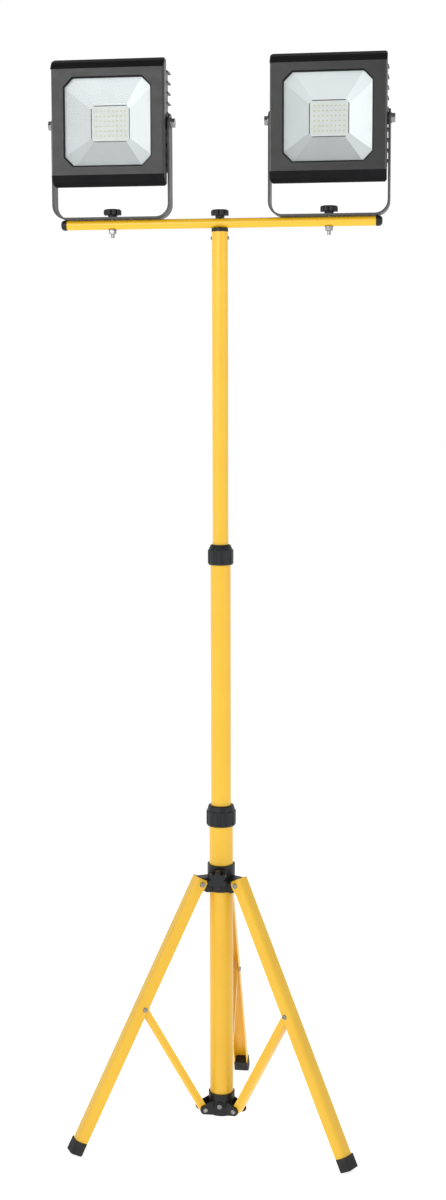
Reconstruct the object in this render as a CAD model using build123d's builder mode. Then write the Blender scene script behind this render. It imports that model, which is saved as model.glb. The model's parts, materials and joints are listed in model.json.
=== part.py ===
from build123d import *
import os
import math

os.makedirs("parts", exist_ok=True)

# ---------------------------------------------------------------------------
# Twin-head LED floodlight on a telescopic folding tripod.
# Millimetres, +Z up. The stand is drawn around the mast axis, then the whole
# object is shifted by MAST_Y so that the origin is the bottom centre of the
# bounding box. T-bar along X, lamps face -Y, rear leg along +Y.
# ---------------------------------------------------------------------------
MAST_Y = -60.2

# mast tubes: outer radius, inner radius, bottom z, top z
OUT_R, OUT_RI, OUT_Z0, OUT_Z1 = 19.0, 17.5, 33.0, 515.0
MID_R, MID_RI, MID_Z0, MID_Z1 = 16.0, 14.5, 455.0, 935.0
TOP_R, TOP_RI, TOP_Z0, TOP_Z1 = 12.5, 11.3, 880.0, 1441.0
RUN = 0.08            # radial running clearance of sliding fits
GAP = 0.35            # gap between pieces that move past each other

# tripod linkage (radius from the mast axis, height)
LEG_AZ = (210.0, 330.0, 90.0)      # front left, front right, rear
LEG_NAMES = ("left", "right", "rear")
LEG_R, LEG_Z = 37.0, 418.0         # leg pivot on the sliding hub
LEG_TILT = 26.8                    # leg angle from vertical
LEG_MID = 217.0                    # leg pivot to mid-leg rivet
LEG_END = 466.8                    # leg pivot to end of the foot cap
LEG_W, LEG_T = 23.5, 1.5           # channel width, wall
LEG_IN, LEG_OUT = -5.0, 13.3       # flange edge and web face, from the line through the rivets
LEG_TOP = 8.5                      # leg end above the pivot
STR_R, STR_Z = 34.0, 42.0          # strut pivot on the lower hub
STR_W, STR_D, STR_T = 18.0, 12.0, 1.4
PIN_R = 2.5

# T-bar and head
BAR_Z, BAR_R, BAR_T, BAR_HALF = 1454.0, 7.5, 1.2, 239.0
LAMP_X = 167.5                     # lamp bolts, either side of the mast
BOLT_R = 3.0

# lamps (centre height, front frame)
LAMP_Z = 1605.0
FR_W, FR_H = 175.0, 190.0          # frame width, height
FR_Y = -34.0                       # front face, from the tilt axis
BEV_H, BEV_D = 16.0, 18.0          # top and bottom bevels
FR_T = 3.2
WIN_W, WIN_H, WIN_C = 135.0, 132.0, 14.0
BODY_X, BODY_ZB, BODY_ZT = 87.0, -75.0, 80.0
BRK_IN, BRK_T, BRK_W = 89.0, 3.0, 28.0
BRK_R = 22.0                       # outer bend radius of the bracket


def save(part, label):
    shape = part.moved(Location((0, MAST_Y, 0)))
    shape.label = label
    export_step(shape, f"parts/{label}.step")


def polar(az, r, z, t=0.0):
    """World point at radius r, tangential offset t and height z."""
    a = math.radians(az)
    return Vector(r * math.cos(a) - t * math.sin(a), r * math.sin(a) + t * math.cos(a), z)


def radial(az):
    return polar(az, 1.0, 0.0)


def tangent(az):
    return polar(az, 0.0, 0.0, 1.0)


# ---------------------------------------------------------------------------
# Outer mast tube, fixed in the lower hub
# ---------------------------------------------------------------------------
with BuildPart() as outer_tube:
    with BuildSketch(Plane.XY.offset(OUT_Z0)):
        Circle(OUT_R)
        Circle(OUT_RI, mode=Mode.SUBTRACT)
    extrude(amount=OUT_Z1 - OUT_Z0)
outer_tube.part.label = "outer_tube"
save(outer_tube.part, "outer_tube")

# ---------------------------------------------------------------------------
# Lower hub: moulded cup on the bottom of the outer tube, three clevises
# ---------------------------------------------------------------------------
LH_R, LH_Z0, LH_Z1 = 21.3, 30.2, 66.0
LH_SCREW = 47.5
CHEEK_IN, CHEEK_OUT = STR_W / 2 + GAP, 12.6
with BuildPart() as lower_hub:
    with BuildSketch(Plane.XY.offset(LH_Z0)):
        Circle(LH_R)
    extrude(amount=LH_Z1 - LH_Z0)
    for az in LEG_AZ:
        for side in (-1, 1):
            mid = side * (CHEEK_IN + CHEEK_OUT) / 2
            pl = Plane(origin=polar(az, 0, 0, mid), x_dir=radial(az), z_dir=tangent(az) * -1)
            with BuildSketch(pl):
                with Locations((STR_R, STR_Z)):
                    Circle(7.2)
                with BuildLine():
                    Polyline((14.0, LH_Z0), (STR_R, STR_Z - 7.2), (STR_R, STR_Z + 7.2),
                             (14.0, STR_Z + 15.0), close=True)
                make_face()
            extrude(amount=(CHEEK_OUT - CHEEK_IN) / 2, both=True)
    # the tube sits in the cup on its floor
    with BuildSketch(Plane.XY.offset(OUT_Z0)):
        Circle(OUT_R)
    extrude(amount=60, mode=Mode.SUBTRACT)
    # screw holes of the strut pivots
    for az in LEG_AZ:
        with BuildSketch(Plane(origin=polar(az, STR_R, STR_Z), x_dir=radial(az), z_dir=tangent(az))):
            Circle(PIN_R)
        extrude(amount=20, both=True, mode=Mode.SUBTRACT)
    # round boss for the fixing screw at the front
    with BuildSketch(Plane(origin=(0, -OUT_R, LH_SCREW), x_dir=(1, 0, 0), z_dir=(0, -1, 0))):
        Circle(6.6)
    extrude(amount=4.4)
    with BuildSketch(Plane(origin=(0, -OUT_R, LH_SCREW), x_dir=(1, 0, 0), z_dir=(0, -1, 0))):
        Circle(2.0)
    extrude(amount=10, mode=Mode.SUBTRACT)
lower_hub.part.label = "lower_hub"
save(lower_hub.part, "lower_hub")

with BuildPart() as lower_hub_screw:
    with BuildSketch(Plane(origin=(0, -OUT_R, LH_SCREW), x_dir=(1, 0, 0), z_dir=(0, -1, 0))):
        Circle(2.0)
    extrude(amount=4.6)
    with BuildSketch(Plane(origin=(0, -OUT_R - 4.4, LH_SCREW), x_dir=(1, 0, 0), z_dir=(0, -1, 0))):
        Circle(4.0)
    extrude(amount=2.2, taper=12)
    with BuildSketch(Plane(origin=(0, -OUT_R - 6.6, LH_SCREW), x_dir=(1, 0, 0), z_dir=(0, -1, 0))):
        Rectangle(4.2, 1.0)
        Rectangle(1.0, 4.2)
    extrude(amount=-1.1, mode=Mode.SUBTRACT)
lower_hub_screw.part.label = "lower_hub_screw"
save(lower_hub_screw.part, "lower_hub_screw")

# pivot pins of the struts, a domed head at each end
with BuildPart() as strut_pivot_pins:
    for az in LEG_AZ:
        pl = Plane(origin=polar(az, STR_R, STR_Z), x_dir=radial(az), z_dir=tangent(az))
        with BuildSketch(pl):
            Circle(PIN_R)
        extrude(amount=CHEEK_OUT + 0.6, both=True)
        for side in (-1, 1):
            hp = Plane(origin=polar(az, STR_R, STR_Z, side * CHEEK_OUT), x_dir=radial(az), z_dir=tangent(az) * side)
            with BuildSketch(hp):
                Circle(4.2)
            extrude(amount=2.0, taper=20)
strut_pivot_pins.part.label = "strut_pivot_pins"
save(strut_pivot_pins.part, "strut_pivot_pins")

# ---------------------------------------------------------------------------
# Sliding upper hub with three lugs, and its lock knob
# ---------------------------------------------------------------------------
UH_R, UH_Z0, UH_Z1 = 22.2, 404.0, 447.0
LUG_HALF = 9.8
KNOB_Z = 430.0
with BuildPart() as upper_hub:
    with BuildSketch(Plane.XY.offset(UH_Z0)):
        Circle(UH_R)
    extrude(amount=UH_Z1 - UH_Z0)
    for az in LEG_AZ:
        pl = Plane(origin=(0, 0, 0), x_dir=radial(az), z_dir=tangent(az) * -1)
        with BuildSketch(pl):
            with Locations((LEG_R, LEG_Z)):
                Circle(7.6)
            with BuildLine():
                Polyline((10.0, UH_Z0), (LEG_R - 8.0, UH_Z0), (LEG_R + 1.6, LEG_Z - 7.3),
                         (LEG_R + 4.0, LEG_Z + 6.0), (LEG_R + 2.2, LEG_Z + 10.0), (10.0, LEG_Z + 10.0),
                         close=True)
            make_face()
        extrude(amount=LUG_HALF, both=True)
    # boss that carries the lock knob
    with BuildSketch(Plane(origin=(0, -12.0, KNOB_Z), x_dir=(1, 0, 0), z_dir=(0, -1, 0))):
        RectangleRounded(23.0, 26.0, 4.0)
    extrude(amount=19.0)
    with BuildSketch(Plane.XY.offset(UH_Z0 - 5)):
        Circle(OUT_R + RUN)
    extrude(amount=60, mode=Mode.SUBTRACT)
    with BuildSketch(Plane(origin=(0, -OUT_R, KNOB_Z), x_dir=(1, 0, 0), z_dir=(0, -1, 0))):
        Circle(3.0 + RUN)
    extrude(amount=20, mode=Mode.SUBTRACT)
    for az in LEG_AZ:
        with BuildSketch(Plane(origin=polar(az, LEG_R, LEG_Z), x_dir=radial(az), z_dir=tangent(az))):
            Circle(PIN_R)
        extrude(amount=20, both=True, mode=Mode.SUBTRACT)
upper_hub.part.label = "upper_hub"
save(upper_hub.part, "upper_hub")

with BuildPart() as leg_pivot_rivets:
    for az in LEG_AZ:
        pl = Plane(origin=polar(az, LEG_R, LEG_Z), x_dir=radial(az), z_dir=tangent(az))
        with BuildSketch(pl):
            Circle(PIN_R)
        extrude(amount=LEG_W / 2 + GAP + 0.5, both=True)
        for side in (-1, 1):
            hp = Plane(origin=polar(az, LEG_R, LEG_Z, side * (LEG_W / 2 + GAP)), x_dir=radial(az),
                       z_dir=tangent(az) * side)
            with BuildSketch(hp):
                Circle(4.2)
            extrude(amount=1.8, taper=20)
            with BuildSketch(hp.offset(1.8)):
                Circle(1.5)
            extrude(amount=-1.0, mode=Mode.SUBTRACT)
leg_pivot_rivets.part.label = "leg_pivot_rivets"
save(leg_pivot_rivets.part, "leg_pivot_rivets")

# lock knob: lobed head on a threaded stud that presses on the tube
with BuildPart() as hub_lock_knob:
    kp = Plane(origin=(0, -OUT_R - 0.3, KNOB_Z), x_dir=(1, 0, 0), z_dir=(0, -1, 0))
    with BuildSketch(kp):
        Circle(3.0)
    extrude(amount=16.0)
    kq = Plane(origin=(0, -31.0 - GAP, KNOB_Z), x_dir=(1, 0, 0), z_dir=(0, -1, 0))
    with BuildSketch(kq):
        Circle(7.0)
    extrude(amount=4.0)
    with BuildSketch(kq.offset(3.5)):
        Circle(10.2)
        with PolarLocations(10.8, 6, start_angle=30):
            Circle(3.9)
    extrude(amount=9.5)
    # turned front edge
    yk = -31.0 - GAP - 13.0
    with BuildSketch(Plane(origin=(0, 0, KNOB_Z), x_dir=(1, 0, 0), z_dir=(0, 0, 1))):
        with BuildLine():
            Polyline((0, -OUT_R), (18.0, -OUT_R), (18.0, yk + 4.6), (13.6, yk + 0.7), (12.2, yk), (0, yk),
                     close=True)
        make_face()
    revolve(axis=Axis((0, 0, KNOB_Z), (0, 1, 0)), mode=Mode.INTERSECT)
hub_lock_knob.part.label = "hub_lock_knob"
save(hub_lock_knob.part, "hub_lock_knob")

# ---------------------------------------------------------------------------
# Legs: pressed U-channels, open side towards the mast. Local z runs up the
# leg through the pivot and the mid-leg rivet, local x points outwards.
# ---------------------------------------------------------------------------
TH = math.radians(LEG_TILT)
CAP_LEN, CAP_FLOOR, CAP_WALL = 21.0, 4.0, 1.1


def channel(w, d, t, r_out, x0=0.0):
    """U-section, web at +x, open at -x, its middle at x0."""
    with BuildSketch() as sk:
        with BuildLine():
            Polyline((-d / 2, -w / 2), (d / 2 - r_out, -w / 2))
            RadiusArc((d / 2 - r_out, -w / 2), (d / 2, -w / 2 + r_out), -r_out)
            Line((d / 2, -w / 2 + r_out), (d / 2, w / 2 - r_out))
            RadiusArc((d / 2, w / 2 - r_out), (d / 2 - r_out, w / 2), -r_out)
            Polyline((d / 2 - r_out, w / 2), (-d / 2, w / 2), (-d / 2, w / 2 - t), (d / 2 - r_out, w / 2 - t))
            RadiusArc((d / 2 - r_out, w / 2 - t), (d / 2 - t, w / 2 - r_out), r_out - t)
            Line((d / 2 - t, w / 2 - r_out), (d / 2 - t, -w / 2 + r_out))
            RadiusArc((d / 2 - t, -w / 2 + r_out), (d / 2 - r_out, -w / 2 + t), r_out - t)
            Polyline((d / 2 - r_out, -w / 2 + t), (-d / 2, -w / 2 + t), (-d / 2, -w / 2))
        make_face()
    return Pos(x0, 0, 0) * sk.sketch


LEG_D, LEG_X = LEG_OUT - LEG_IN, (LEG_OUT + LEG_IN) / 2
for az, nm in zip(LEG_AZ, LEG_NAMES):
    piv = polar(az, LEG_R, LEG_Z)
    out = radial(az) * math.cos(TH) + Vector(0, 0, math.sin(TH))
    up = radial(az) * -math.sin(TH) + Vector(0, 0, math.cos(TH))
    tan = tangent(az)
    lp = Plane(origin=piv, x_dir=out, z_dir=up)
    side_plane = Plane(origin=piv, x_dir=out, z_dir=tan * -1)      # local (x, z) of the leg
    with BuildPart() as leg:
        with BuildSketch(lp.offset(-LEG_END + CAP_FLOOR)):
            add(channel(LEG_W, LEG_D, LEG_T, 6.0, LEG_X))
        extrude(amount=LEG_END - CAP_FLOOR + LEG_TOP)
        # flanges carried inwards around the pivot
        for side in (-1, 1):
            fp = Plane(origin=piv + tan * side * (LEG_W / 2 - LEG_T / 2), x_dir=out, z_dir=tan * -1)
            with BuildSketch(fp):
                with BuildLine():
                    Polyline((LEG_IN + 1.0, LEG_TOP), (LEG_IN - 2.4, LEG_TOP - 4.0), (LEG_IN - 2.4, -4.0),
                             (LEG_IN + 0.5, -16.0), (LEG_IN + 3, -16.0), (LEG_IN + 3, LEG_TOP), close=True)
                make_face()
            extrude(amount=LEG_T / 2, both=True)
        # pivot hole and mid-leg rivet hole
        with BuildSketch(side_plane):
            Circle(PIN_R + RUN)
        extrude(amount=LEG_W, both=True, mode=Mode.SUBTRACT)
        with BuildSketch(side_plane):
            with Locations((0, -LEG_MID)):
                Circle(PIN_R)
        extrude(amount=LEG_W, both=True, mode=Mode.SUBTRACT)
    leg.part.label = f"leg_{nm}"
    save(leg.part, f"leg_{nm}")

    # foot: rubber cap over and inside the channel end, heel flattened at z = 0
    with BuildPart() as foot:
        with BuildSketch(lp.offset(-LEG_END)):
            with Locations((LEG_X, 0)):
                RectangleRounded(LEG_D + 2 * CAP_WALL, LEG_W + 2 * CAP_WALL, 4.0)
        extrude(amount=CAP_LEN)
        with BuildSketch(lp.offset(-LEG_END + CAP_FLOOR)):
            add(channel(LEG_W, LEG_D, LEG_T, 6.0, LEG_X))
        extrude(amount=CAP_LEN, mode=Mode.SUBTRACT)
        with BuildSketch(Plane(origin=(0, 0, 0))):
            Rectangle(800, 800)
        extrude(amount=-30, mode=Mode.SUBTRACT)
    foot.part.label = f"foot_{nm}"
    save(foot.part, f"foot_{nm}")

    # mid-leg rivet: head, shank through the flange and inner shoulder, each side
    with BuildPart() as rivets:
        for side in (-1, 1):
            c = piv + up * -LEG_MID
            rp = Plane(origin=c + tan * side * (STR_W / 2 + 0.4), x_dir=out, z_dir=tan * side)
            with BuildSketch(rp):
                Circle(4.2)
            extrude(amount=LEG_W / 2 - LEG_T - STR_W / 2 - 0.4)
            with BuildSketch(rp):
                Circle(PIN_R)
            extrude(amount=LEG_W / 2 - STR_W / 2 - 0.4 + 0.5)
            hp = Plane(origin=c + tan * side * LEG_W / 2, x_dir=out, z_dir=tan * side)
            with BuildSketch(hp):
                Circle(4.0)
            extrude(amount=1.6, taper=20)
            with BuildSketch(hp.offset(1.6)):
                Circle(1.4)
            extrude(amount=-0.9, mode=Mode.SUBTRACT)
    rivets.part.label = f"mid_leg_rivet_{nm}"
    save(rivets.part, f"mid_leg_rivet_{nm}")

# ---------------------------------------------------------------------------
# Struts: narrower U-channels that lie inside the legs when folded
# ---------------------------------------------------------------------------
MID_PT_R = LEG_R + LEG_MID * math.sin(TH)
MID_PT_Z = LEG_Z - LEG_MID * math.cos(TH)
STR_LEN = math.hypot(MID_PT_R - STR_R, MID_PT_Z - STR_Z)
PH = math.atan2(MID_PT_R - STR_R, MID_PT_Z - STR_Z)

for az, nm in zip(LEG_AZ, LEG_NAMES):
    piv = polar(az, STR_R, STR_Z)
    up = radial(az) * math.sin(PH) + Vector(0, 0, math.cos(PH))
    out = radial(az) * math.cos(PH) + Vector(0, 0, -math.sin(PH))
    tan = tangent(az)
    sp = Plane(origin=piv, x_dir=out, z_dir=up)
    side_plane = Plane(origin=piv, x_dir=out, z_dir=tan * -1)
    with BuildPart() as strut:
        with BuildSketch(sp.offset(-STR_D / 2)):
            add(channel(STR_W, STR_D, STR_T, 4.0))
        extrude(amount=STR_LEN + STR_D)
        # round both ends about their pivots
        with BuildSketch(side_plane):
            with Locations((0, STR_LEN / 2)):
                SlotCenterToCenter(STR_LEN, STR_D, rotation=90)
        extrude(amount=STR_W, both=True, mode=Mode.INTERSECT)
        with BuildSketch(side_plane):
            Circle(PIN_R + RUN)
            with Locations((0, STR_LEN)):
                Circle(PIN_R)
        extrude(amount=STR_W, both=True, mode=Mode.SUBTRACT)
    strut.part.label = f"strut_{nm}"
    save(strut.part, f"strut_{nm}")

# ---------------------------------------------------------------------------
# Telescopic mast
# ---------------------------------------------------------------------------
with BuildPart() as mid_tube:
    with BuildSketch(Plane.XY.offset(MID_Z0)):
        Circle(MID_R)
        Circle(MID_RI, mode=Mode.SUBTRACT)
    extrude(amount=MID_Z1 - MID_Z0)
mid_tube.part.label = "mid_tube"
save(mid_tube.part, "mid_tube")

with BuildPart() as mid_guide_bush:
    with BuildSketch(Plane.XY.offset(MID_Z0 - 2.5)):
        Circle(OUT_RI - RUN)
        Circle(MID_RI, mode=Mode.SUBTRACT)
    extrude(amount=2.5)
    with BuildSketch(Plane.XY.offset(MID_Z0)):
        Circle(OUT_RI - RUN)
        Circle(MID_R, mode=Mode.SUBTRACT)
    extrude(amount=24)
mid_guide_bush.part.label = "mid_guide_bush"
save(mid_guide_bush.part, "mid_guide_bush")

with BuildPart() as top_tube:
    with BuildSketch(Plane.XY.offset(TOP_Z0)):
        Circle(TOP_R)
        Circle(TOP_RI, mode=Mode.SUBTRACT)
    extrude(amount=TOP_Z1 - TOP_Z0)
top_tube.part.label = "top_tube"
save(top_tube.part, "top_tube")

with BuildPart() as top_guide_bush:
    with BuildSketch(Plane.XY.offset(TOP_Z0 - 2.5)):
        Circle(MID_RI - RUN)
        Circle(TOP_RI, mode=Mode.SUBTRACT)
    extrude(amount=2.5)
    with BuildSketch(Plane.XY.offset(TOP_Z0)):
        Circle(MID_RI - RUN)
        Circle(TOP_R, mode=Mode.SUBTRACT)
    extrude(amount=24)
top_guide_bush.part.label = "top_guide_bush"
save(top_guide_bush.part, "top_guide_bush")


def collet(z_tube, r_tube, r_in, height):
    """Split clamping sleeve standing on the tube end, plus a short skirt."""
    with BuildPart() as c:
        with BuildSketch(Plane.XY.offset(z_tube)):
            Circle(r_tube - 0.1)
            Circle(r_in, mode=Mode.SUBTRACT)
        extrude(amount=height)
        with BuildSketch(Plane.XY.offset(z_tube + 6)):
            with PolarLocations(r_tube, 4):
                Rectangle(r_tube, 1.6)
        extrude(amount=height, mode=Mode.SUBTRACT)
    return c.part


lower_collet = collet(OUT_Z1, OUT_R, MID_R + RUN, 22.0)
lower_collet.label = "lower_collet"
save(lower_collet, "lower_collet")
upper_collet = collet(MID_Z1, MID_R, TOP_R + RUN, 17.0)
upper_collet.label = "upper_collet"
save(upper_collet, "upper_collet")


def twist_collar(r_tube, r_pass, r_body, r_skirt, r_top, z0, z1, z2, z3, z_seat, z_in, flutes):
    """Moulded collar: skirt z0-z1, fluted grip z1-z2, cone z2-z3."""
    with BuildPart() as c:
        with BuildSketch(Plane.XZ):
            with BuildLine():
                Polyline((0, z0), (r_skirt, z0), (r_skirt, z1), (r_body - 1.0, z1), (r_body, z1 + 1.2),
                         (r_body, z2 - 1.0), (r_body - 1.2, z2), (r_top + 1.2, z3 - 1.0), (r_top, z3),
                         (0, z3), close=True)
            make_face()
        revolve(axis=Axis.Z)
        # grip flutes run up into the cone
        with BuildSketch(Plane.XY.offset(z1 + 2.0)):
            with PolarLocations(r_body + 1.9, flutes):
                Circle(3.5)
        extrude(amount=z3 - z1, mode=Mode.SUBTRACT)
        # bore: over the tube below, over the collet above, small lip at the top
        with BuildSketch(Plane.XY.offset(z0 - 1)):
            Circle(r_tube + RUN)
        extrude(amount=z_seat - z0 + 1, mode=Mode.SUBTRACT)
        with BuildSketch(Plane.XY.offset(z0 - 1)):
            Circle(r_tube + 0.2)
        extrude(amount=z_in - z0 + 1, mode=Mode.SUBTRACT)
        with BuildSketch(Plane.XY.offset(z0 - 1)):
            Circle(r_pass + 0.4)
        extrude(amount=z3 - z0 + 5, mode=Mode.SUBTRACT)
    return c.part


lower_twist_collar = twist_collar(OUT_R, MID_R, 23.6, 22.3, 19.2, 510.2, 511.2, 535.0, 543.2, 515.0, 537.6, 12)
lower_twist_collar.label = "lower_twist_collar"
save(lower_twist_collar, "lower_twist_collar")
upper_twist_collar = twist_collar(MID_R, TOP_R, 20.2, 18.9, 14.8, 928.5, 929.5, 952.5, 960.2, 935.0, 953.0, 10)
upper_twist_collar.label = "upper_twist_collar"
save(upper_twist_collar, "upper_twist_collar")

# ---------------------------------------------------------------------------
# Mast head: plug with a collar under the T-bar, two side screws
# ---------------------------------------------------------------------------
with BuildPart() as head_plug:
    with BuildSketch(Plane.XY.offset(TOP_Z1 - 34)):
        Circle(TOP_RI)
    extrude(amount=34)
    with BuildSketch(Plane.XY.offset(TOP_Z1)):
        Circle(12.9)
    extrude(amount=BAR_Z - BAR_R - GAP - TOP_Z1)
    chamfer(head_plug.edges().filter_by(GeomType.CIRCLE).group_by(Axis.Z)[-1], 0.8)
    with BuildSketch(Plane.XY.offset(TOP_Z1 - 40)):
        Circle(4.0)
    extrude(amount=60, mode=Mode.SUBTRACT)
    for side in (-1, 1):
        with BuildSketch(Plane(origin=(0, 0, 1431.5), x_dir=(0, 1, 0), z_dir=(side, 0, 0))):
            Circle(1.6)
        extrude(amount=16, mode=Mode.SUBTRACT)
head_plug.part.label = "head_plug"
save(head_plug.part, "head_plug")

with BuildPart() as top_tube_holes:
    add(top_tube.part)
    for side in (-1, 1):
        with BuildSketch(Plane(origin=(side * 8.0, 0, 1431.5), x_dir=(0, 1, 0), z_dir=(side, 0, 0))):
            Circle(1.6)
        extrude(amount=8, mode=Mode.SUBTRACT)
top_tube_holes.part.label = "top_tube"
save(top_tube_holes.part, "top_tube")

with BuildPart() as head_plug_screws:
    for side in (-1, 1):
        with BuildSketch(Plane(origin=(side * 5.5, 0, 1431.5), x_dir=(0, 1, 0), z_dir=(side, 0, 0))):
            Circle(1.6)
        extrude(amount=7.6)
        with BuildSketch(Plane(origin=(side * TOP_R, 0, 1431.5), x_dir=(0, 1, 0), z_dir=(side, 0, 0))):
            Circle(3.0)
        extrude(amount=1.9, taper=22)
head_plug_screws.part.label = "head_plug_screws"
save(head_plug_screws.part, "head_plug_screws")

# ---------------------------------------------------------------------------
# T-bar with domed end caps, clamp bolts for the lamps
# ---------------------------------------------------------------------------
bar_plane = Plane(origin=(-BAR_HALF, 0, BAR_Z), x_dir=(0, 1, 0), z_dir=(1, 0, 0))
with BuildPart() as tbar:
    with BuildSketch(bar_plane):
        Circle(BAR_R)
        Circle(BAR_R - BAR_T, mode=Mode.SUBTRACT)
    extrude(amount=2 * BAR_HALF)
    with BuildSketch(Plane.XY.offset(BAR_Z)):
        Circle(4.3)
    extrude(amount=20, both=True, mode=Mode.SUBTRACT)
    with BuildSketch(Plane.XY.offset(BAR_Z)):
        with Locations((-LAMP_X, 0), (LAMP_X, 0)):
            Circle(BOLT_R)
    extrude(amount=20, both=True, mode=Mode.SUBTRACT)
tbar.part.label = "tbar"
save(tbar.part, "tbar")

with BuildPart() as tbar_end_caps:
    for side in (-1, 1):
        ep = Plane(origin=(side * BAR_HALF, 0, BAR_Z), x_dir=(0, 1, 0), z_dir=(side, 0, 0))
        with BuildSketch(ep.offset(-9)):
            Circle(BAR_R - BAR_T)
        extrude(amount=9.5)
        with BuildSketch(ep):
            Circle(7.9)
        extrude(amount=9.5)
    fillet(tbar_end_caps.edges().filter_by(GeomType.CIRCLE).group_by(Axis.X)[0], 5.4)
    fillet(tbar_end_caps.edges().filter_by(GeomType.CIRCLE).group_by(Axis.X)[-1], 5.4)
tbar_end_caps.part.label = "tbar_end_caps"
save(tbar_end_caps.part, "tbar_end_caps")

with BuildPart() as lamp_clamp_bolts:
    for sx in (-LAMP_X, LAMP_X):
        under = BAR_Z - BAR_R
        with BuildSketch(Plane.XY.offset(under - 12.6)):
            with Locations((sx, 0)):
                Circle(BOLT_R)
        extrude(amount=36.5)
        with BuildSketch(Plane.XY.offset(under - 1.3)):
            with Locations((sx, 0)):
                Circle(6.5)
        extrude(amount=1.3)
        with BuildSketch(Plane.XY.offset(under - 6.3)):
            with Locations((sx, 0)):
                RegularPolygon(5.77, 6)
        extrude(amount=5.0)
lamp_clamp_bolts.part.label = "lamp_clamp_bolts"
save(lamp_clamp_bolts.part, "lamp_clamp_bolts")


def star_knob(cx, z_under, neck_h, head_h, lobes, bore, stud=0.0, stud_r=0.0, turn=0.0):
    """Lobed hand knob with a round neck."""
    with BuildPart() as k:
        with BuildSketch(Plane.XY.offset(z_under)):
            with Locations((cx, 0)):
                Circle(7.0)
        extrude(amount=neck_h + 1.0)
        with BuildSketch(Plane.XY.offset(z_under + neck_h)):
            with Locations((cx, 0)):
                Circle(10.0)
                with PolarLocations(10.2, lobes, start_angle=turn):
                    Circle(3.7)
        extrude(amount=head_h)
        # turned top edge: only what lies inside this turned blank stays
        zt = z_under + neck_h + head_h
        with BuildSketch(Plane(origin=(cx, 0, 0), x_dir=(1, 0, 0), z_dir=(0, -1, 0))):
            with BuildLine():
                Polyline((0, z_under), (16.0, z_under), (16.0, zt - 3.6), (12.2, zt - 0.4), (11.4, zt),
                         (0, zt), close=True)
            make_face()
        revolve(axis=Axis((cx, 0, 0), (0, 0, 1)), mode=Mode.INTERSECT)
        if bore > 0:
            with BuildSketch(Plane.XY.offset(z_under)):
                with Locations((cx, 0)):
                    Circle(bore)
            extrude(amount=neck_h + head_h - 2.0, mode=Mode.SUBTRACT)
        if stud > 0:
            with BuildSketch(Plane.XY.offset(z_under - stud)):
                with Locations((cx, 0)):
                    Circle(stud_r)
            extrude(amount=stud + 1.0)
    return k.part


tbar_knob = star_knob(0.0, BAR_Z + BAR_R + GAP, 3.6, 8.6, 8, 0.0, 46.0, 3.92, 22.5)
tbar_knob.label = "tbar_knob"
save(tbar_knob, "tbar_knob")

# ---------------------------------------------------------------------------
# Lamps and brackets
# ---------------------------------------------------------------------------
BRK_Z = BAR_Z + BAR_R + GAP        # underside of the bracket on the T-bar


def octagon(w, h, c):
    """Rectangle with its corners cut by c."""
    with BuildSketch() as sk:
        with BuildLine():
            Polyline((-w / 2 + c, -h / 2), (w / 2 - c, -h / 2), (w / 2, -h / 2 + c), (w / 2, h / 2 - c),
                     (w / 2 - c, h / 2), (-w / 2 + c, h / 2), (-w / 2, h / 2 - c), (-w / 2, -h / 2 + c),
                     close=True)
        make_face()
    return sk.sketch


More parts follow.
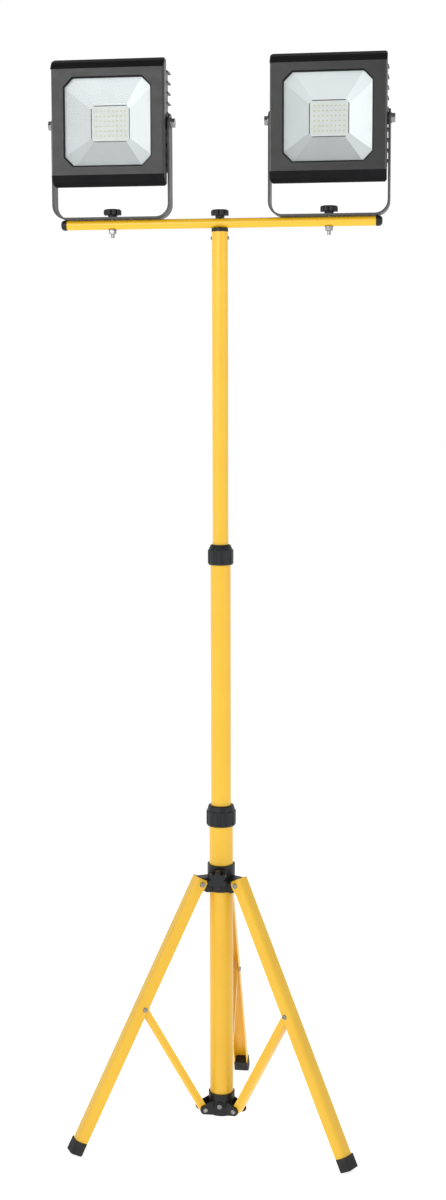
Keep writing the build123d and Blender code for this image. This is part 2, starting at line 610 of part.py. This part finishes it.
for cx, nm in ((-LAMP_X, "left"), (LAMP_X, "right")):
    # U-bracket: flat bar bent twice, round ends at the tilt bolts
    with BuildPart() as bracket:
        bp = Plane(origin=(cx, 0, 0), x_dir=(1, 0, 0), z_dir=(0, -1, 0))
        xo, zo = BRK_IN + BRK_T, BRK_Z
        xi, zi = BRK_IN, BRK_Z + BRK_T
        zt = LAMP_Z + BRK_W / 2
        with BuildSketch(bp):
            with BuildLine():
                Line((-xo, zt), (-xo, zo + BRK_R))
                RadiusArc((-xo, zo + BRK_R), (-xo + BRK_R, zo), -BRK_R)
                Line((-xo + BRK_R, zo), (xo - BRK_R, zo))
                RadiusArc((xo - BRK_R, zo), (xo, zo + BRK_R), -BRK_R)
                Polyline((xo, zo + BRK_R), (xo, zt), (xi, zt), (xi, zo + BRK_R))
                RadiusArc((xi, zo + BRK_R), (xo - BRK_R, zi), BRK_R - BRK_T)
                Line((xo - BRK_R, zi), (-xo + BRK_R, zi))
                RadiusArc((-xo + BRK_R, zi), (-xi, zo + BRK_R), BRK_R - BRK_T)
                Polyline((-xi, zo + BRK_R), (-xi, zt), (-xo, zt))
            make_face()
        extrude(amount=BRK_W / 2, both=True)
        with BuildSketch(Plane(origin=(cx - 120, 0, 0), x_dir=(0, 1, 0), z_dir=(1, 0, 0))):
            with BuildLine():
                Line((-BRK_W / 2, LAMP_Z), (-BRK_W / 2, BRK_Z - 5))
                Line((-BRK_W / 2, BRK_Z - 5), (BRK_W / 2, BRK_Z - 5))
                Line((BRK_W / 2, BRK_Z - 5), (BRK_W / 2, LAMP_Z))
                ThreePointArc((BRK_W / 2, LAMP_Z), (0, LAMP_Z + BRK_W / 2), (-BRK_W / 2, LAMP_Z))
            make_face()
        extrude(amount=240, mode=Mode.INTERSECT)
        with BuildSketch(Plane(origin=(cx - 120, 0, LAMP_Z), x_dir=(0, 1, 0), z_dir=(1, 0, 0))):
            Circle(4.0 + RUN)
        extrude(amount=240, mode=Mode.SUBTRACT)
        with BuildSketch(Plane.XY.offset(BRK_Z - 5)):
            with Locations((cx, 0)):
                Circle(BOLT_R + GAP)
        extrude(amount=20, mode=Mode.SUBTRACT)
    bracket.part.label = f"bracket_{nm}"
    save(bracket.part, f"bracket_{nm}")

    knob = star_knob(cx, BRK_Z + BRK_T + GAP, 3.6, 8.4, 8, BOLT_R + RUN, 0.0, 0.0, 22.5)
    knob.label = f"lamp_knob_{nm}"
    save(knob, f"lamp_knob_{nm}")

    front = Plane(origin=(cx, 0, LAMP_Z), x_dir=(1, 0, 0), z_dir=(0, -1, 0))    # local z = forwards
    prof = Plane(origin=(cx, 0, LAMP_Z), x_dir=(0, 1, 0), z_dir=(1, 0, 0))      # local (y, z)

    # front frame: shallow pan with bevelled top and bottom, octagonal window
    y0 = FR_Y
    yb = FR_Y + BEV_D + 4.5
    with BuildPart() as front_frame:
        with BuildSketch(prof):
            with BuildLine():
                Polyline((y0, -FR_H / 2 + BEV_H), (y0, FR_H / 2 - BEV_H), (y0 + BEV_D * 0.42, FR_H / 2 - BEV_H * 0.36),
                         (y0 + BEV_D, FR_H / 2), (yb, FR_H / 2), (yb, -FR_H / 2), (y0 + BEV_D, -FR_H / 2),
                         (y0 + BEV_D * 0.42, -FR_H / 2 + BEV_H * 0.36), close=True)
            make_face()
        extrude(amount=FR_W / 2, both=True)
        chamfer(front_frame.edges().filter_by(Axis.Y).group_by(Axis.Z)[-1], 3.0)
        chamfer(front_frame.edges().filter_by(Axis.Y).group_by(Axis.Z)[0], 3.0)
        # the face between the bevels is a little narrower: its side edges slope back
        with BuildSketch(Plane.XY.offset(LAMP_Z - FR_H / 2 + BEV_H)):
            for side in (-1, 1):
                with BuildLine():
                    Polyline((cx + side * (FR_W / 2 - 2.2), y0 - 1.0), (cx + side * (FR_W / 2 - 2.2), y0),
                             (cx + side * FR_W / 2, y0 + 5.5), (cx + side * (FR_W / 2 + 1.0), y0 + 5.5),
                             (cx + side * (FR_W / 2 + 1.0), y0 - 1.0), close=True)
                make_face()
        extrude(amount=FR_H - 2 * BEV_H, mode=Mode.SUBTRACT)
        # cavity from the back
        with BuildSketch(front.offset(-yb)):
            with Locations((0, (BODY_ZB + BODY_ZT) / 2)):
                RectangleRounded(2 * BODY_X - 8.0, BODY_ZT - BODY_ZB - 4.0, 4.0)
        extrude(amount=yb - y0 - FR_T, mode=Mode.SUBTRACT)
        with BuildSketch(front.offset(-y0)):
            add(octagon(WIN_W, WIN_H, WIN_C))
        extrude(amount=-8, mode=Mode.SUBTRACT)
        chamfer(front_frame.faces().sort_by(Axis.Y)[0].inner_wires()[0].edges(), 0.8)
    front_frame.part.label = f"front_frame_{nm}"
    save(front_frame.part, f"front_frame_{nm}")

    # gasket, glass, reflector, LED board
    yg = y0 + FR_T
    with BuildPart() as gasket:
        with BuildSketch(front.offset(-yg)):
            Rectangle(148.0, 144.0)
        extrude(amount=-1.0)
        with BuildSketch(front.offset(-yg)):
            add(octagon(WIN_W - 3.0, WIN_H - 3.0, WIN_C - 1.0))
        extrude(amount=-1.0, mode=Mode.SUBTRACT)
    gasket.part.label = f"gasket_{nm}"
    save(gasket.part, f"gasket_{nm}")

    with BuildPart() as glass:
        with BuildSketch(front.offset(-yg - 1.0)):
            RectangleRounded(148.0, 144.0, 3.0)
        extrude(amount=-3.5)
    glass.part.label = f"glass_{nm}"
    save(glass.part, f"glass_{nm}")

    yr0, yr1 = yg + 4.7, -9.9
    with BuildPart() as reflector:
        with BuildSketch(front.offset(-yr0)):
            add(octagon(141.0, 138.0, 16.0))
        with BuildSketch(front.offset(-yr1)):
            add(octagon(63.0, 57.0, 6.0))
        loft()
        with BuildSketch(front.offset(-yr0)):
            add(octagon(138.6, 135.6, 15.6))
        with BuildSketch(front.offset(-yr1)):
            add(octagon(60.6, 54.6, 5.6))
        loft(mode=Mode.SUBTRACT)
    reflector.part.label = f"reflector_{nm}"
    save(reflector.part, f"reflector_{nm}")

    with BuildPart() as led_board:
        with BuildSketch(front.offset(9.6)):
            RectangleRounded(58.0, 52.0, 2.0)
        extrude(amount=-1.6)
    led_board.part.label = f"led_board_{nm}"
    save(led_board.part, f"led_board_{nm}")

    with BuildPart() as leds:
        with BuildSketch(front.offset(9.6)):
            with GridLocations(6.4, 7.4, 8, 6):
                Rectangle(3.4, 3.0)
        extrude(amount=0.8)
    leds.part.label = f"leds_{nm}"
    save(leds.part, f"leds_{nm}")

    # rear casting: base with a pocket, horizontal fins, side bosses, driver bay
    HB0, HB1, HF1 = yb, 5.0, 23.5
    zc = (BODY_ZB + BODY_ZT) / 2
    hh = BODY_ZT - BODY_ZB
    with BuildPart() as heatsink:
        with BuildSketch(front.offset(-HB0)):
            with Locations((0, zc)):
                RectangleRounded(2 * BODY_X, hh, 5.0)
        extrude(amount=-(HB1 - HB0))
        # fins
        with BuildSketch(front.offset(-HB1)):
            for i in range(10):
                with Locations((0, -62.0 + 15.4 * i)):
                    Rectangle(2 * BODY_X + 2.6, 2.4)
        extrude(amount=-(HF1 - HB1))
        # side fin edges that show on the flanks
        with BuildSketch(front.offset(-(HB1 - 9.0))):
            for i in range(10):
                with Locations((0, -62.0 + 15.4 * i)):
                    Rectangle(2 * BODY_X + 2.6, 2.4)
        extrude(amount=-9.0)
        # room for the driver cover
        with BuildSketch(front.offset(-HB1)):
            with Locations((0, -22.0)):
                Rectangle(112.0, 78.0)
            with Locations((0, -66.0)):
                Rectangle(20.0, 24.0)
        extrude(amount=-(HF1 - HB1 + 1.0), mode=Mode.SUBTRACT)
        # tilt bosses on both flanks
        for side in (-1, 1):
            with BuildSketch(Plane(origin=(cx + side * (BODY_X - 4.0), 0, LAMP_Z), x_dir=(0, 1, 0),
                                   z_dir=(side, 0, 0))):
                Circle(9.5)
            extrude(amount=BRK_IN - GAP - BODY_X + 4.0)
            with BuildSketch(Plane(origin=(cx + side * (BODY_X - 14.0), 0, LAMP_Z), x_dir=(0, 1, 0),
                                   z_dir=(side, 0, 0))):
                Circle(4.0)
            extrude(amount=30.0, mode=Mode.SUBTRACT)
        # front pocket that holds the board and the back of the reflector
        with BuildSketch(front.offset(-HB0)):
            RectangleRounded(130.0, 126.0, 4.0)
        extrude(amount=-(-8.0 - HB0), mode=Mode.SUBTRACT)
    heatsink.part.label = f"heatsink_{nm}"
    save(heatsink.part, f"heatsink_{nm}")

    with BuildPart() as driver_cover:
        with BuildSketch(front.offset(-HB1)):
            with Locations((0, -22.0)):
                RectangleRounded(110.0, 76.0, 6.0)
        extrude(amount=-18.0)
        fillet(driver_cover.faces().sort_by(Axis.Y)[-1].edges(), 3.0)
        with BuildSketch(front.offset(-HB1)):
            with Locations((0, -22.0)):
                RectangleRounded(104.0, 70.0, 4.0)
        extrude(amount=-15.0, mode=Mode.SUBTRACT)
        # cable entry
        with BuildSketch(Plane(origin=(cx, HB1 + 9.0, LAMP_Z - 60.0), x_dir=(1, 0, 0), z_dir=(0, 0, -1))):
            Circle(4.0)
        extrude(amount=20, both=True, mode=Mode.SUBTRACT)
    driver_cover.part.label = f"driver_cover_{nm}"
    save(driver_cover.part, f"driver_cover_{nm}")

    with BuildPart() as gland:
        gp = Plane(origin=(cx, HB1 + 9.0, LAMP_Z - 60.0), x_dir=(1, 0, 0), z_dir=(0, 0, -1))
        with BuildSketch(gp.offset(-3.0)):
            Circle(4.0)
        extrude(amount=3.0)
        with BuildSketch(gp):
            RegularPolygon(7.6, 6)
        extrude(amount=4.0)
        with BuildSketch(gp.offset(4.0)):
            Circle(6.4)
        extrude(amount=7.0, taper=6)
        with BuildSketch(gp.offset(-3.0)):
            Circle(2.6)
        extrude(amount=20.0, mode=Mode.SUBTRACT)
    gland.part.label = f"cable_gland_{nm}"
    save(gland.part, f"cable_gland_{nm}")

    with BuildPart() as tilt_bolts:
        for side in (-1, 1):
            tp = Plane(origin=(cx + side * (BODY_X - 14.0), 0, LAMP_Z), x_dir=(0, 1, 0), z_dir=(side, 0, 0))
            with BuildSketch(tp):
                Circle(4.0)
            extrude(amount=BRK_IN + BRK_T + GAP - BODY_X + 14.0 + 0.5)
            hp = Plane(origin=(cx + side * (BRK_IN + BRK_T + GAP), 0, LAMP_Z), x_dir=(0, 1, 0), z_dir=(side, 0, 0))
            with BuildSketch(hp):
                Circle(8.0)
            extrude(amount=1.4)
            with BuildSketch(hp.offset(1.4)):
                RegularPolygon(7.5, 6)
            extrude(amount=5.0)
    tilt_bolts.part.label = f"tilt_bolts_{nm}"
    save(tilt_bolts.part, f"tilt_bolts_{nm}")

    # screws that pull the casting onto the front frame
    with BuildPart() as case_screws:
        with BuildSketch(front.offset(-HB1)):
            with Locations((-76.0, -69.5), (76.0, -69.5), (-76.0, 68.9), (76.0, 68.9)):
                Circle(3.2)
        extrude(amount=-2.2, taper=15)
    case_screws.part.label = f"case_screws_{nm}"
    save(case_screws.part, f"case_screws_{nm}")
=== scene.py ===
import json
import math

import bpy
from mathutils import Matrix, Vector


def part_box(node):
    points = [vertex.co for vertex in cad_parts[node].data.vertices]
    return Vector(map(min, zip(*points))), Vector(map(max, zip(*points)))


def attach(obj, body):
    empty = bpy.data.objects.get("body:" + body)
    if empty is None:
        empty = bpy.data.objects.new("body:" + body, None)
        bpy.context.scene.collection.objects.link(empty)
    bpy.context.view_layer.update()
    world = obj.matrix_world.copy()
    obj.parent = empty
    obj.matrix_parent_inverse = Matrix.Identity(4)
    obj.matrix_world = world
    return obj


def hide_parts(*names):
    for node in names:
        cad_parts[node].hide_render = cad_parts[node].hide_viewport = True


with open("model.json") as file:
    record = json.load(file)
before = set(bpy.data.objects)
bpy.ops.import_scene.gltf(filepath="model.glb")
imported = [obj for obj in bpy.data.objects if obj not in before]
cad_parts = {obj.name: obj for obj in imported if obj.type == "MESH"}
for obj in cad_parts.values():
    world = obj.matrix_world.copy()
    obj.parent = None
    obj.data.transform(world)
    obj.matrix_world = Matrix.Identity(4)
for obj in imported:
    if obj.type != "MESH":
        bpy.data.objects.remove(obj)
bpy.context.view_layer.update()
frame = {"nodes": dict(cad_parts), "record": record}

NODES = frame["nodes"]
BODY_OF = {n: b for b, ns in frame["record"]["behaviour"]["bodies"].items() for n in ns}

scene = bpy.context.scene
scene.view_settings.view_transform = "Standard"
scene.view_settings.look = "None"
scene.view_settings.exposure = 0.0
scene.view_settings.gamma = 1.0


# ------------------------------------------------------------------ materials
def new_material(name):
    m = bpy.data.materials.new(name)
    m.use_nodes = True
    nt = m.node_tree
    for n in list(nt.nodes):
        nt.nodes.remove(n)
    out = nt.nodes.new("ShaderNodeOutputMaterial")
    p = nt.nodes.new("ShaderNodeBsdfPrincipled")
    nt.links.new(p.outputs["BSDF"], out.inputs["Surface"])
    return m, nt, p, out


def object_coords(nt):
    return nt.nodes.new("ShaderNodeTexCoord").outputs["Object"]


def noise(nt, coords, scale, detail=3.0, rough=0.55, distortion=0.0):
    n = nt.nodes.new("ShaderNodeTexNoise")
    n.inputs["Scale"].default_value = scale
    n.inputs["Detail"].default_value = detail
    n.inputs["Roughness"].default_value = rough
    n.inputs["Distortion"].default_value = distortion
    nt.links.new(coords, n.inputs["Vector"])
    return n.outputs["Fac"]


def remap(nt, value, lo, hi, a=0.3, b=0.7):
    r = nt.nodes.new("ShaderNodeMapRange")
    r.inputs["From Min"].default_value = a
    r.inputs["From Max"].default_value = b
    r.inputs["To Min"].default_value = lo
    r.inputs["To Max"].default_value = hi
    nt.links.new(value, r.inputs["Value"])
    return r.outputs["Result"]


def mix_colour(nt, fac, c1, c2):
    m = nt.nodes.new("ShaderNodeMix")
    m.data_type = "RGBA"
    m.inputs["A"].default_value = (*c1, 1.0)
    m.inputs["B"].default_value = (*c2, 1.0)
    nt.links.new(fac, m.inputs["Factor"])
    return m.outputs["Result"]


def bump(nt, height, strength, distance, normal=None):
    b = nt.nodes.new("ShaderNodeBump")
    b.inputs["Strength"].default_value = strength
    b.inputs["Distance"].default_value = distance
    nt.links.new(height, b.inputs["Height"])
    if normal is not None:
        nt.links.new(normal, b.inputs["Normal"])
    return b.outputs["Normal"]


def rounded(nt, radius):
    b = nt.nodes.new("ShaderNodeBevel")
    b.samples = 4
    b.inputs["Radius"].default_value = radius
    return b.outputs["Normal"]


def coated(name, c1, c2, rough=(0.3, 0.4), metallic=0.0, grain=900.0, grain_strength=0.2, grain_depth=0.0002,
           blotch=18.0, edge=0.0004, coat=0.0, coat_rough=0.1, spec=0.5, slope_shade_spec=None):
    """Painted, moulded or cast surface: colour blotches, varying gloss, fine grain, softened edges."""
    m, nt, p, _ = new_material(name)
    co = object_coords(nt)
    big = noise(nt, co, blotch, 4.0)
    nt.links.new(mix_colour(nt, remap(nt, big, 0.0, 1.0), c1, c2), p.inputs["Base Color"])
    nt.links.new(remap(nt, noise(nt, co, blotch * 3.1, 3.0), rough[0], rough[1]), p.inputs["Roughness"])
    p.inputs["Metallic"].default_value = metallic
    p.inputs["Specular IOR Level"].default_value = spec
    if slope_shade_spec is not None:
        # painted shade: the strips that slope up or down get a lower specular level than the textured face, so they
        # render blacker
        tc = nt.nodes.new("ShaderNodeTexCoord")
        sep = nt.nodes.new("ShaderNodeSeparateXYZ")
        mag = nt.nodes.new("ShaderNodeMath")
        mag.operation = "ABSOLUTE"
        nt.links.new(tc.outputs["Normal"], sep.inputs["Vector"])
        nt.links.new(sep.outputs["Z"], mag.inputs[0])
        mr = nt.nodes.new("ShaderNodeMapRange")
        mr.inputs["From Min"].default_value = 0.15
        mr.inputs["From Max"].default_value = 0.45
        mr.inputs["To Min"].default_value = spec
        mr.inputs["To Max"].default_value = slope_shade_spec
        nt.links.new(mag.outputs["Value"], mr.inputs["Value"])
        nt.links.new(mr.outputs["Result"], p.inputs["Specular IOR Level"])
    p.inputs["Coat Weight"].default_value = coat
    p.inputs["Coat Roughness"].default_value = coat_rough
    base = rounded(nt, edge) if edge > 0 else None
    nt.links.new(bump(nt, noise(nt, co, grain, 2.0), grain_strength, grain_depth, base), p.inputs["Normal"])
    return m


MATS = {}
MATS["yellow_coat"] = coated("yellow_coat", (0.84, 0.48, 0.014), (0.88, 0.52, 0.019), rough=(0.30, 0.38), grain=420.0,
                             grain_strength=0.10, grain_depth=0.00025, blotch=9.0, edge=0.0006, coat=0.25,
                             coat_rough=0.18)
MATS["black_moulding"] = coated("black_moulding", (0.008, 0.009, 0.011), (0.013, 0.014, 0.017), rough=(0.34, 0.46),
                                grain=1600.0, grain_strength=0.18, grain_depth=0.00012, blotch=30.0, edge=0.0005,
                                spec=0.32)
MATS["collet_nylon"] = coated("collet_nylon", (0.05, 0.05, 0.05), (0.065, 0.065, 0.066), rough=(0.45, 0.6),
                              grain=1200.0, edge=0.0003)
MATS["black_rubber"] = coated("black_rubber", (0.014, 0.014, 0.014), (0.022, 0.022, 0.023), rough=(0.62, 0.8),
                              grain=1300.0, grain_strength=0.3, grain_depth=0.00015, blotch=40.0, edge=0.001,
                              spec=0.35)
MATS["zinc_steel"] = coated("zinc_steel", (0.26, 0.26, 0.26), (0.36, 0.36, 0.35), rough=(0.24, 0.4), metallic=1.0,
                            grain=2600.0, grain_strength=0.10, grain_depth=0.0001, blotch=160.0, edge=0.0003)
# painted shade: the last argument turns down the shine of the up- and down-facing bevel strips of the casting
MATS["dark_casting"] = coated("dark_casting", (0.006, 0.006, 0.007), (0.010, 0.010, 0.011), rough=(0.30, 0.38),
                              grain=1300.0, grain_strength=0.45, grain_depth=0.0003, blotch=24.0, edge=0.0008,
                              spec=0.44, slope_shade_spec=0.08)
MATS["dark_bracket"] = coated("dark_bracket", (0.040, 0.040, 0.043), (0.052, 0.052, 0.056), rough=(0.4, 0.5),
                              grain=1500.0, grain_strength=0.25, grain_depth=0.0002, blotch=24.0, edge=0.0005)
MATS["black_cover"] = coated("black_cover", (0.024, 0.024, 0.026), (0.034, 0.034, 0.036), rough=(0.5, 0.62),
                             grain=1100.0, grain_strength=0.4, grain_depth=0.0002, blotch=24.0, edge=0.0006)
MATS["white_board"] = coated("white_board", (0.66, 0.68, 0.66), (0.70, 0.72, 0.70), rough=(0.5, 0.6), grain=900.0,
                             grain_strength=0.05, blotch=60.0, edge=0.0002, spec=0.06)
MATS["led_phosphor"] = coated("led_phosphor", (0.56, 0.50, 0.20), (0.62, 0.56, 0.26), rough=(0.5, 0.6),
                              grain=3000.0, grain_strength=0.12, grain_depth=0.00005, blotch=300.0, edge=0.0,
                              spec=0.08)


def reflector_material():
    m, nt, p, _ = new_material("silver_reflector")
    co = object_coords(nt)
    f = remap(nt, noise(nt, co, 26.0, 3.0), 0.0, 1.0)
    nt.links.new(mix_colour(nt, f, (0.68, 0.70, 0.71), (0.72, 0.74, 0.75)), p.inputs["Base Color"])
    nt.links.new(remap(nt, noise(nt, co, 60.0, 2.0), 0.36, 0.44), p.inputs["Roughness"])
    p.inputs["Metallic"].default_value = 0.55
    nt.links.new(bump(nt, noise(nt, co, 700.0, 1.0), 0.04, 0.00004), p.inputs["Normal"])
    return m


MATS["silver_reflector"] = reflector_material()


def glass_material():
    """Clear plate: mostly see-through, with a weak reflection that grows towards grazing angles."""
    m = bpy.data.materials.new("clear_glass")
    m.use_nodes = True
    nt = m.node_tree
    for n in list(nt.nodes):
        nt.nodes.remove(n)
    out = nt.nodes.new("ShaderNodeOutputMaterial")
    clear = nt.nodes.new("ShaderNodeBsdfTransparent")
    clear.inputs["Color"].default_value = (0.985, 0.995, 0.992, 1.0)
    shine = nt.nodes.new("ShaderNodeBsdfGlossy")
    shine.inputs["Color"].default_value = (1.0, 1.0, 1.0, 1.0)
    co = object_coords(nt)
    nt.links.new(remap(nt, noise(nt, co, 45.0, 3.0), 0.02, 0.06), shine.inputs["Roughness"])
    fres = nt.nodes.new("ShaderNodeFresnel")
    fres.inputs["IOR"].default_value = 1.14
    mix = nt.nodes.new("ShaderNodeMixShader")
    nt.links.new(fres.outputs["Fac"], mix.inputs["Fac"])
    nt.links.new(clear.outputs["BSDF"], mix.inputs[1])
    nt.links.new(shine.outputs["BSDF"], mix.inputs[2])
    nt.links.new(mix.outputs["Shader"], out.inputs["Surface"])
    return m


MATS["clear_glass"] = glass_material()

SLOT_OF = {s["node"]: s["material_slot"] for s in frame["record"]["subparts"]}
for node, obj in NODES.items():
    mat = MATS[SLOT_OF[node]]
    obj.data.materials.clear()
    obj.data.materials.append(mat)
    for poly in obj.data.polygons:
        poly.material_index = 0


# ------------------------------------------------------------------ mesh helper
def make(name, verts, faces, mats, mat_index=None, smooth=False):
    me = bpy.data.meshes.new(name)
    me.from_pydata([tuple(v) for v in verts], [], faces)
    for m in mats:
        me.materials.append(m)
    if mat_index is not None:
        for poly, i in zip(me.polygons, mat_index):
            poly.material_index = i
    for poly in me.polygons:
        poly.use_smooth = smooth
    me.update()
    ob = bpy.data.objects.new(name, me)
    scene.collection.objects.link(ob)
    return ob


# ------------------------------------------------------------------ LED chips: white package with a phosphor window
def chips(side):
    node = f"leds_{side}"
    lo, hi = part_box(node)
    cols, rows = 8, 6
    w, h, d = 0.0034, 0.0030, hi.y - lo.y
    px = ((hi.x - lo.x) - w) / (cols - 1)
    pz = ((hi.z - lo.z) - h) / (rows - 1)
    verts, faces, mi = [], [], []
    for i in range(cols):
        for j in range(rows):
            cx, cz = lo.x + w / 2 + i * px, lo.z + h / 2 + j * pz
            base = len(verts)
            rings = ((w / 2, h / 2, 0.0), (w / 2, h / 2, d * 0.72), (w / 2 - 0.00022, h / 2 - 0.00022, d),
                     (w / 2 - 0.00055, h / 2 - 0.00055, d), (w / 2 - 0.00072, h / 2 - 0.00072, d * 0.86))
            for rw, rh, up in rings:
                for sx, sz in ((-1, -1), (1, -1), (1, 1), (-1, 1)):
                    verts.append((cx + sx * rw, hi.y - up, cz + sz * rh))
            for r in range(len(rings) - 1):
                for k in range(4):
                    a, b = base + r * 4 + k, base + r * 4 + (k + 1) % 4
                    faces.append((a, b, b + 4, a + 4))
                    mi.append(0)
            top = base + (len(rings) - 1) * 4
            faces.append((top, top + 1, top + 2, top + 3))
            mi.append(1)
    ob = make(f"led_chips_{side}", verts, faces, [MATS["white_board"], MATS["led_phosphor"]], mi)
    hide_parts(node)
    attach(ob, BODY_OF[node])


for side in ("left", "right"):
    chips(side)


# ------------------------------------------------------------------ stage
def stage_material():
    m, nt, p, _ = new_material("studio_floor")
    co = object_coords(nt)
    f = remap(nt, noise(nt, co, 1.2, 3.0), 0.0, 1.0)
    nt.links.new(mix_colour(nt, f, (0.86, 0.86, 0.86), (0.88, 0.88, 0.88)), p.inputs["Base Color"])
    p.inputs["Roughness"].default_value = 0.75
    p.inputs["Specular IOR Level"].default_value = 0.2
    p.inputs["Emission Color"].default_value = (1.0, 1.0, 1.0, 1.0)
    p.inputs["Emission Strength"].default_value = 0.72
    return m


def floor():
    """Wide pale floor, a flat disc."""
    n = 96
    verts = [(40.0 * math.cos(2 * math.pi * k / n), 40.0 * math.sin(2 * math.pi * k / n), 0.0) for k in range(n)]
    ob = make("studio_floor", verts, [tuple(range(n))], [stage_material()])
    return ob


floor()

# pale studio: bright around the horizon, dim overhead
world = bpy.data.worlds.new("studio")
scene.world = world
world.use_nodes = True
wt = world.node_tree
bg = wt.nodes["Background"]
bg.inputs["Color"].default_value = (1.0, 1.0, 1.0, 1.0)
wco = wt.nodes.new("ShaderNodeTexCoord")
wsep = wt.nodes.new("ShaderNodeSeparateXYZ")
wmap = wt.nodes.new("ShaderNodeMapRange")
wt.links.new(wco.outputs["Generated"], wsep.inputs["Vector"])
wt.links.new(wsep.outputs["Z"], wmap.inputs["Value"])
wmap.inputs["From Min"].default_value = 0.20
wmap.inputs["From Max"].default_value = 0.60
wmap.inputs["To Min"].default_value = 1.04
wmap.inputs["To Max"].default_value = 0.22
wt.links.new(wmap.outputs["Result"], bg.inputs["Strength"])


def area(name, loc, target, size, size_y, power, colour=(1.0, 1.0, 1.0)):
    data = bpy.data.lights.new(name, "AREA")
    data.shape = "RECTANGLE"
    data.size, data.size_y = size, size_y
    data.energy = power
    data.color = colour
    ob = bpy.data.objects.new(name, data)
    ob.location = loc
    ob.rotation_mode = "QUATERNION"
    ob.rotation_quaternion = (Vector(target) - Vector(loc)).to_track_quat("-Z", "Y")
    scene.collection.objects.link(ob)
    return ob


area("front_box", (-0.80, -2.75, 2.10), (-0.17, -0.09, 1.60), 1.1, 1.1, 19.0)
area("key", (-2.4, -2.2, 1.5), (0.0, -0.06, 0.8), 0.9, 2.2, 12.0)
area("side", (2.5, -1.2, 1.4), (0.0, -0.06, 0.9), 0.7, 2.2, 8.0)
area("overhead", (0.0, 0.8, 4.4), (0.0, 0.2, 0.0), 2.6, 2.6, 8.0)

# ------------------------------------------------------------------ camera
MAST_Y = (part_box("outer_tube")[0].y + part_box("outer_tube")[1].y) / 2
F_PX, DIST, CAM_H = 1695.6, 2.6495, 1.2012
TH, PITCH, YAW, ROLL = (math.radians(v) for v in (8.331, 7.079, -0.079, -0.113))
az = TH + YAW
fwd = Vector((-math.sin(az) * math.cos(PITCH), math.cos(az) * math.cos(PITCH), -math.sin(PITCH)))
right = Vector((math.cos(az), math.sin(az), 0.0))
up = right.cross(fwd)
r2 = math.cos(ROLL) * right + math.sin(ROLL) * up
u2 = -math.sin(ROLL) * right + math.cos(ROLL) * up
cam_data = bpy.data.cameras.new("camera")
cam_data.sensor_width = 36.0
cam_data.lens = F_PX * 36.0 / 1200.0
cam = bpy.data.objects.new("camera", cam_data)
scene.collection.objects.link(cam)
rot = Matrix((r2, u2, -fwd)).transposed()
cam.matrix_world = Matrix.Translation((DIST * math.sin(TH), MAST_Y - DIST * math.cos(TH), CAM_H)) @ rot.to_4x4()
scene.camera = cam
